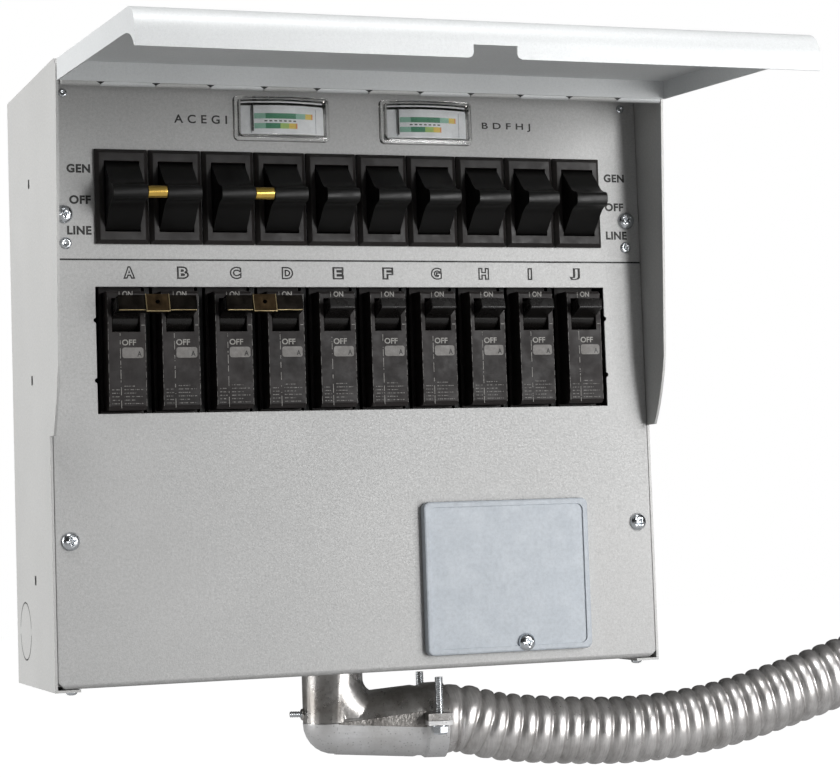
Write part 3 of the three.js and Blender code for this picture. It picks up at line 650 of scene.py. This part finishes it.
def phillips_screw(name, centre, axis, spin, scale=1.42):
    """A pan-head screw whose cross recess narrows towards its floor."""
    profile = [(r * scale, h * scale) for r, h in PAN_HEAD]
    head = turned_piece(name, profile, 40, centre, axis, zinc, BASE, None)
    place = turned_to(centre, axis, spin)
    half_length, half_width = 1.85 * scale, 0.375 * scale
    cross = []
    for a in (-half_length, half_length):
        for b in (-half_width, half_width):
            cross += [(a * 0.55, b * 0.6, 1.0 * scale), (a, b, 3.0 * scale)]
    for quarter in range(2):
        turned = Matrix.Rotation(quarter * math.pi / 2, 4, "Z")
        carve(head, cross, block((1, 1, 1), (0, 0, 0))[1], place @ turned)
    return head


def make_screws():
    for side, tag in ((-1, "left"), (1, "right")):
        spin = 0.5 + 0.3 * side
        phillips_screw(f"panel_screw_{tag}", (side * SCREW_X, FRONT, 94), FORWARD, spin)
        phillips_screw(f"cover_screw_{tag}", (side * SCREW_X, FRONT, -92.7), FORWARD, spin)
        for z, scale in ((164.2, 1.0), (77.3, 1.36)):
            place = (side * RIVET_X, FRONT, z)
            profile = [(r * scale, h * scale) for r, h in RIVET_HEAD]
            turned_piece(f"rivet_{tag}_{z:.0f}", profile, 28, place, FORWARD, zinc, BASE, None)
        phillips_screw(f"foot_screw_{tag}", (side * 176, FRONT + 9, -177.5), DOWN, spin, 0.9)
    place = (97.6, FRONT - 4.8, -162.3)
    turned_piece("plate_boss", PLATE_BOSS, 40, place, FORWARD, plate_plastic, BASE, "plate_grey")
    phillips_screw("plate_screw", (place[0], place[1] - 0.5, place[2]), FORWARD, 0.2)


def threaded_rod(name, start, finish, radius):
    """A rod with a helical thread from start to finish."""
    rings = even_steps([start, finish], THREAD_PITCH / len(THREAD_DEPTHS))
    vertices, faces = wound_tube(rings, 20, radius, THREAD_DEPTHS)
    return link_mesh(name, vertices, faces, zinc, BASE, None, True)


def hexagon(name, centre, axis, across, height, spin):
    """A hex bolt head with chamfered corners."""
    corner = across / math.sqrt(3)
    profile = ((0, 0), (corner, 0), (corner, height * 0.75), (corner * 0.88, height), (0, height))
    return turned_piece(name, profile, 6, centre, axis, zinc, BASE, None, False, spin)


def make_elbow_bolts():
    ear_x = BRANCH_LENGTH - 7.5
    ear_y = 28.6
    for side, tag in ((-1, "front"), (1, "rear")):
        y = side * ear_y
        seat = in_elbow(ear_x, y, PARTING_Z - 2.9)
        turned_piece(f"clamp_washer_{tag}", WASHER, 32, seat, DOWN, zinc, BASE, None)
        hexagon(f"clamp_bolt_{tag}_head", seat - Vector((0, 0, WASHER_THICK)), DOWN, 8.6, 4.6, 0.3)
        bottom, top = in_elbow(ear_x, y, PARTING_Z - 3), in_elbow(ear_x, y, -182.5)
        threaded_rod(f"clamp_bolt_{tag}", bottom, top, 2.6)
    threaded_rod("neck_screw", in_elbow(-15, 0, -203.5), in_elbow(-27, -1, -203), 2.0)
    place = in_elbow(-18, 0, -203.5)
    turned_piece("neck_screw_boss", NECK_BOSS, 24, place, (-1, 0, 0), casting, BASE, "casting")


def make_parting_land():
    """The rough wedge along the casting's front, where its two halves meet."""
    columns, rows, length = 24, 6, 54
    vertices = []
    for lift in (0.9, -0.6):
        for i in range(columns + 1):
            x = length * i / columns
            radius = HEEL_RADIUS + (BRANCH_ROOT - HEEL_RADIUS) * x / length + lift
            low, high = PARTING_Z - 0.6 - 0.075 * x, PARTING_Z + 0.2 + 0.095 * x
            for j in range(rows + 1):
                z = low + (high - low) * j / rows
                y = -math.sqrt(radius**2 - (z - BRANCH_Z) ** 2)
                vertices.append(tuple(in_elbow(x, y, z)))
    count, across = (columns + 1) * (rows + 1), rows + 1
    faces = []
    for i in range(columns):
        for j in range(rows):
            a = i * across + j
            faces.append((a, a + across, a + across + 1, a + 1))
            faces.append(tuple(count + k for k in (a, a + 1, a + across + 1, a + across)))
    for i in range(columns):
        a, b = i * across, i * across + rows
        faces.append((a, a + count, a + count + across, a + across))
        faces.append((b, b + across, b + across + count, b + count))
    for j in range(rows):
        a = columns * across + j
        faces.append((j, j + 1, j + 1 + count, j + count))
        faces.append((a, a + count, a + count + 1, a + 1))
    land = link_mesh("elbow_parting_land", vertices, faces, rough_casting, BASE, "casting", True)
    softened(land, 0.25)


make_screws()
make_elbow_bolts()
make_parting_land()

# ---------------------------------------------------------------- lettering


def lettering(name, text, centre, size, material, body=BASE, outline=0.0, spacing=1.0, bold=0.022):
    """Flat letters that face the front, of a (width, height) size.

    outline draws their edges alone, with a line that thick where letters are about 1 high.
    bold thickens the strokes, on the same scale.
    """
    curve = bpy.data.curves.new(name, "FONT")
    curve.body = text
    curve.space_character = spacing
    curve.offset = bold
    if outline:
        curve.fill_mode = "NONE"
        curve.bevel_depth = outline
        curve.bevel_resolution = 1
    drawn = bpy.data.objects.new(name, curve)
    bpy.context.scene.collection.objects.link(drawn)
    bpy.context.view_layer.update()
    mesh = bpy.data.meshes.new_from_object(drawn.evaluated_get(bpy.context.evaluated_depsgraph_get()))
    bpy.data.objects.remove(drawn)
    low = [min(v.co[i] for v in mesh.vertices) for i in range(2)]
    high = [max(v.co[i] for v in mesh.vertices) for i in range(2)]
    width, height = size
    scale = (width / (high[0] - low[0]), height / (high[1] - low[1]))
    middle = [(a + b) / 2 for a, b in zip(low, high)]
    for vertex in mesh.vertices:
        x = (vertex.co.x - middle[0]) * scale[0] + centre[0]
        z = (vertex.co.y - middle[1]) * scale[1] + centre[2]
        y = centre[1] - INK + vertex.co.z * STROKE_DEPTH
        vertex.co = Vector((x, y, z)) * MM
    mesh.materials.clear()
    mesh.materials.append(material)
    piece = bpy.data.objects.new(name, mesh)
    bpy.context.scene.collection.objects.link(piece)
    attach(piece, body)
    return piece


def make_panel_print():
    """The switch positions, the circuits of each meter, and an outlined letter over each breaker."""
    word_height, letter_height, letter_z = 5.1, 7.3, 60.6
    rows = (("GEN", 120.6, 13.8), ("OFF", 102.5, 12.6), ("LINE", 84.8, 14.2))
    for side, tag, edge in ((-1, "left", -160.4), (1, "right", 162.6)):
        for word, z, width in rows:
            place = (edge + side * width / 2, FRONT, z)
            size = (width, word_height)
            lettering(f"print_{word}_{tag}", word, place, size, black_ink, spacing=1.09, bold=0.045)
    for tag, word, x in (("left", "ACEGI", -94.2), ("right", "BDFHJ", 98.5)):
        size = (32, word_height)
        lettering(f"print_circuits_{tag}", word, (x, FRONT, 151), size, black_ink, spacing=1.7, bold=0.02)
    for letter in CIRCUITS:
        # A letter sits 3.9 mm right of its breaker's centre at A, and 2.3 mm left of it at J.
        x = circuit_x(letter) + 3.9 - 0.0085 * CIRCUITS.index(letter) ** 3
        size = (3 if letter == "i" else 7, letter_height)
        place = (x, FRONT, letter_z)
        lettering(f"print_circuit_{letter}", letter.upper(), place, size, black_ink, outline=0.052, bold=0.06)


make_panel_print()

# ---------------------------------------------------------------- breakers


def printed_marks(name, marks, y, material):
    """One piece of thin flat marks that face the front, each (x0, x1, z0, z1)."""
    boxes = [(x0, x1, y - 0.08, y + 0.02, z0, z1) for x0, x1, z0, z1 in marks]
    link_mesh(name, *joined_blocks(boxes), material, BASE, None)


def rounded_label(name, x0, x1, z0, z1, y, radius, material):
    """A thin label with round corners that faces the front."""
    left, right, low, high = x0 + radius, x1 - radius, z0 + radius, z1 - radius
    rim = []
    for x, z, start in ((right, high, 0), (left, high, 90), (left, low, 180), (right, low, 270)):
        for step in range(5):
            angle = math.radians(start + step * 22.5)
            rim.append((x + radius * math.cos(angle), z + radius * math.sin(angle)))
    count = len(rim)
    vertices = [(x, y - 0.12, z) for x, z in rim] + [(x, y, z) for x, z in rim]
    faces = [tuple(reversed(range(count)))]
    faces += [(i, (i + 1) % count, (i + 1) % count + count, i + count) for i in range(count)]
    link_mesh(name, vertices, faces, material, BASE, None)


def broken_line(low, high, pitch, phase):
    """Lengths of an uneven broken line between low and high."""
    found, place = [], low
    while place < high:
        length = pitch * (0.45 + 0.4 * math.sin(5.3 * place + phase))
        found.append((place, min(place + length, high)))
        place += length + pitch * (0.3 + 0.2 * math.sin(3.1 * place + phase))
    return found


def fine_print(x):
    """Two columns of short dashes, like print too small to read."""
    marks = []
    for row in range(6):
        z = -5.6 - 2 * row
        for start, finish in ((x - 9, x - 4.6), (x - 1.8, x + 5 + 4 * (row % 2))):
            if row or start > x - 5:
                marks += [(a, b, z, z + 0.5) for a, b in broken_line(start, finish, 1.5, row + x)]
    return marks


def worn_and_highlit_edges(x):
    """Rubbed wear and painted highlights along the raised face's two long edges."""
    marks = [(x - 10.65, x - 10.4, a, b) for a, b in broken_line(-17, 48, 6, x)]
    return marks + [(x + 11.0, x + 11.25, a, b) for a, b in broken_line(-17, 48, 5, x + 2)]


def make_breaker_marks(letter):
    """The label, the words and the seams on one breaker's raised face."""
    x = circuit_x(letter)
    y = BREAKER_FACE
    rounded_label(f"breaker_label_{letter}", x - 2.6, x + 9.8, 10.7, 16.8, y, 1.4, label_paper)
    lettering(f"breaker_amp_{letter}", "A", (x + 7.4, y - 0.14, 13.1), (2.6, 3), black_ink)
    lettering(f"breaker_off_{letter}", "OFF", (x + 1.5, y, 19.7), (8.2, 3.4), pale_ink)
    lettering(f"breaker_on_{letter}", "ON", (x + 1.2, y, 47.6), (6, 3.2), pale_ink)
    seams = [(x - 3.8, x - 3.45, a, b) for a, b in broken_line(-18, 25, 7, x)]
    seams += [(x - 3.8, x - 3.5, 45.6, 49), (x + 8.9, x + 10.9, 29.4, 29.8)]
    printed_marks(f"breaker_seam_{letter}", seams, y, seam_ink)
    # The fine print, and the edge lines, which are partly wear and partly painted highlight.
    printed_marks(f"breaker_print_and_edge_highlight_{letter}", fine_print(x) + worn_and_highlit_edges(x), y, faint_ink_and_edge_highlight)


def make_panel_seam_shadow():
    """A painted shadow: a black strip laid over the gap between the two panels, where the gap is in shade."""
    end, half = SIDE - 2, 0.5
    printed_marks("panel_seam_shadow", [(-end, end, SEAM_Z - half, SEAM_Z + half)], FRONT, painted_gap_shadow)


for letter in CIRCUITS:
    make_breaker_marks(letter)
make_panel_seam_shadow()


def in_toggle(x, y, z):
    """A point of the toggles' own frame, at rest."""
    return Matrix.Rotation(-TOGGLE_ON, 3, "X") @ Vector((x, y, z)) + Vector((0, TOGGLE_Y, TOGGLE_Z))


def make_tie_edge_highlights(pair):
    """Painted highlights: strips of lighter metal on the folded edges round the clip's saddle and along its
    lower lip.
    """
    centre = sum(circuit_x(letter) for letter in pair) / 2
    back = -TOGGLE_REACH - 0.3
    bars = [
        (-7.0, -6.5, back - 1.6, back - 0.9, -5.5, 5.0),
        (6.5, 7.0, back - 1.6, back - 0.9, -5.5, 5.0),
        (-7.0, 7.0, back - 1.6, back - 0.9, -5.7, -5.2),
        (-22.6, -7.4, back - 1.0, back - 0.3, -4.8, -4.35),
        (7.4, 22.6, back - 1.0, back - 0.3, -4.8, -4.35),
    ]
    vertices, faces = joined_blocks(bars)
    vertices = [tuple(in_toggle(x + centre, y, z)) for x, y, z in vertices]
    edges = link_mesh(f"tie_edge_highlights_{pair}", vertices, faces, tie_edge_highlight, f"toggle_{pair}", "tie_bronze")
    softened(edges, 0.12)


for pair in TIED:
    make_tie_edge_highlights(pair)

# ---------------------------------------------------------------- meter dials


def dial_patch(name, centre_x, x0, x1, z0, z1, material, lift=0.08):
    """A printed patch that follows the dial's curve."""
    steps = max(2, round((x1 - x0) / 1.5))
    vertices = []
    for i in range(steps + 1):
        x = x0 + (x1 - x0) * i / steps
        y = FRONT - DIAL_PROUD + DIAL_RADIUS - math.sqrt((DIAL_RADIUS + lift) ** 2 - x**2)
        vertices += [(centre_x + x, y, METER_Z + z0), (centre_x + x, y, METER_Z + z1)]
    faces = [(2 * i, 2 * i + 2, 2 * i + 3, 2 * i + 1) for i in range(steps)]
    link_mesh(name, vertices, faces, material, BASE, "meter_white")


def make_dial(tag, centre_x):
    """Two rows of coloured bars, marks and rules, and above them two strips of dial paper, painted light over
    the shaded top of the case, with a slit between them for the needle's arm.
    """
    upper = (
        (-17.4, -10.8, bar_pale),
        (-10.8, 7.6, bar_green),
        (7.6, 13.7, bar_pale),
        (13.7, 17.6, bar_yellow),
        (17.6, 18.5, bar_orange),
    )
    lower = (
        (-17.4, -10.8, bar_pale),
        (-10.8, -2.1, bar_green),
        (-2.1, 3.2, bar_lime),
        (3.2, 7.5, bar_yellow),
        (7.5, 8.4, bar_orange),
    )
    for row, (z0, z1, bars) in enumerate(((-0.6, 2.6, upper), (-6.5, -3.3, lower))):
        for k, (x0, x1, material) in enumerate(bars):
            dial_patch(f"dial_bar_{tag}_{row}_{k}", centre_x, x0, x1, z0, z1, material)
    # White strips painted over the shaded top of the meter case: painted light.
    for k, (z0, z1) in enumerate(((6.3, 7.35), (8.85, 9.8))):
        dial_patch(f"dial_painted_light_{tag}_{k}", centre_x, -25.5, 25.5, z0, z1, dial_paper, 0.0)
    for k in range(7):
        x = -11.5 + k * 2.9
        dial_patch(f"dial_mark_{tag}_{k}", centre_x, x, x + 1.7, -2.35, -1.6, black_ink, 0.1)
    for k, x in enumerate((-19.3, 20.4)):
        dial_patch(f"dial_edge_{tag}_{k}", centre_x, x, x + 0.3, -9, 5.6, rule_ink, 0.1)


make_dial("left", -METER_X)
make_dial("right", METER_X)

# ---------------------------------------------------------------- knock-outs and side slots


def knockout_ring_shadow(name, side):
    """A painted shadow: a thin black ring on a side wall where the knock-out's groove is in shade, broken
    where the knock-out is still held.
    """
    x = side * (SIDE + 0.04)
    halves, held, steps = 2, math.radians(14), 24
    vertices, faces = [], []
    for part in range(halves):
        first = part * 2 * math.pi / halves + held / 2
        span = 2 * math.pi / halves - held
        base = len(vertices)
        for i in range(steps + 1):
            angle = first + span * i / steps
            for reach in (KNOCKOUT_RADIUS - GROOVE / 2, KNOCKOUT_RADIUS + GROOVE / 2):
                y = KNOCKOUT_Y + reach * math.cos(angle)
                z = KNOCKOUT_Z + reach * math.sin(angle)
                vertices.append((x, y, z))
        for i in range(steps):
            a = base + 2 * i
            faces.append((a, a + 1, a + 3, a + 2))
    link_mesh(name, vertices, faces, painted_gap_shadow, BASE, "body_paint")


def make_side_details():
    for side, tag in ((-1, "left"), (1, "right")):
        knockout_ring_shadow(f"knockout_{tag}", side)
        for k, (y, z) in enumerate(SIDE_SLOTS):
            # Each side slot is a painted shadow: a thin black block on the wall where the opening is in
            # shade.
            vertices, faces = block((0.1, 4.2, 5.4), (side * (SIDE + 0.02), y, z))
            link_mesh(f"side_slot_shadow_{tag}_{k}", vertices, faces, painted_gap_shadow, BASE, "body_paint")


make_side_details()


def make_hinge_notch_shadows():
    """Painted shadows: black V-shaped patches at the ends of the hinge barrels, wrapped on their front, where
    the gaps between them are in shade.
    """
    vertices, faces = [], []
    rows = ((0.7, 3.1), (0.2, 2.6), (-0.35, 1.75), (-0.9, 0.8), (-1.4, 0.0))
    for k in range(-5, 6):
        centre = k * PITCH + BARREL_SHIFT
        base = len(vertices)
        for height, half in rows:
            y = HINGE_Y - math.sqrt((BARREL_RADIUS + 0.06) ** 2 - height**2)
            vertices += [(centre - half, y, HINGE_Z + height), (centre + half, y, HINGE_Z + height)]
        for a in range(base, base + 2 * (len(rows) - 1), 2):
            faces.append((a, a + 2, a + 3, a + 1))
    link_mesh("hinge_notch_shadows", vertices, faces, painted_gap_shadow, BASE, "body_paint")


make_hinge_notch_shadows()

# ---------------------------------------------------------------- floor, light and background


def make_floor():
    """Grey paper that glows white to the camera and faintly in reflections, and throws little light back."""
    reach, height = 6.0, -0.42
    mesh = bpy.data.meshes.new("floor")
    signs = ((-1, -1), (1, -1), (1, 1), (-1, 1))
    corners = [(reach * x, reach * y, height) for x, y in signs]
    mesh.from_pydata(corners, [], [(0, 1, 2, 3)])
    material, tree, shader = new_material("floor_paper", Roughness=0.8)
    shader.inputs["Emission Color"].default_value = grey(1)
    path = node(tree, "ShaderNodeLightPath")
    glow = node(tree, "ShaderNodeMath", {"operation": "MULTIPLY_ADD"})
    tree.links.new(path.outputs["Is Glossy Ray"], glow.inputs[0])
    glow.inputs[1].default_value = 0.2
    tree.links.new(path.outputs["Is Camera Ray"], glow.inputs[2])
    paper = ramp(tree, noise(tree, 2, 2), grey(0.22), grey(0.25))
    connect(tree, shader, Base_Color=paper, Emission_Strength=glow.outputs[0])
    mesh.materials.append(material)
    floor = bpy.data.objects.new("floor", mesh)
    bpy.context.scene.collection.objects.link(floor)


def softbox(name, place, aim, size, power):
    """A rectangular lamp, in metres and watts, that points at aim."""
    data = bpy.data.lights.new(name, "AREA")
    data.shape = "RECTANGLE"
    data.size, data.size_y = size
    data.energy = power
    lamp = bpy.data.objects.new(name, data)
    direction = Vector(aim) - Vector(place)
    turn = direction.to_track_quat("-Z", "Y").to_matrix().to_4x4()
    lamp.matrix_world = Matrix.Translation(Vector(place)) @ turn
    bpy.context.scene.collection.objects.link(lamp)


def make_background(ambient):
    """White to the camera, and a dimmer, even light on the object."""
    world = bpy.data.worlds.new("studio")
    world.use_nodes = True
    tree = world.node_tree
    seen = tree.nodes["Background"]
    seen.inputs["Color"].default_value = grey(1)
    lit = node(tree, "ShaderNodeBackground", Color=grey(1), Strength=ambient)
    path = node(tree, "ShaderNodeLightPath")
    both = node(tree, "ShaderNodeMixShader", Fac=path.outputs["Is Camera Ray"])
    tree.links.new(lit.outputs[0], both.inputs[1])
    tree.links.new(seen.outputs[0], both.inputs[2])
    tree.links.new(both.outputs[0], tree.nodes["World Output"].inputs["Surface"])
    bpy.context.scene.world = world


make_floor()
softbox("key", (0.9, -2.35, 0.2), (0.0, -0.1, 0.0), (0.4, 1.1), 24)
softbox("near_right", (0.58, -0.85, 0.0), (0.05, -0.1, -0.02), (0.4, 0.9), 3.5)
softbox("upper_front", (0.2, -1.5, 1.2), (0.1, -0.1, -0.2), (0.9, 0.25), 1.5)
softbox("left_side", (-1.5, 0.3, 0.25), (-0.18, -0.06, 0.0), (0.7, 1.0), 24.5)
softbox("top", (-0.1, -0.75, 1.5), (0.0, -0.3, 0.1), (1.4, 0.5), 21)
make_background(0.02)
bpy.context.scene.view_settings.view_transform = "Standard"
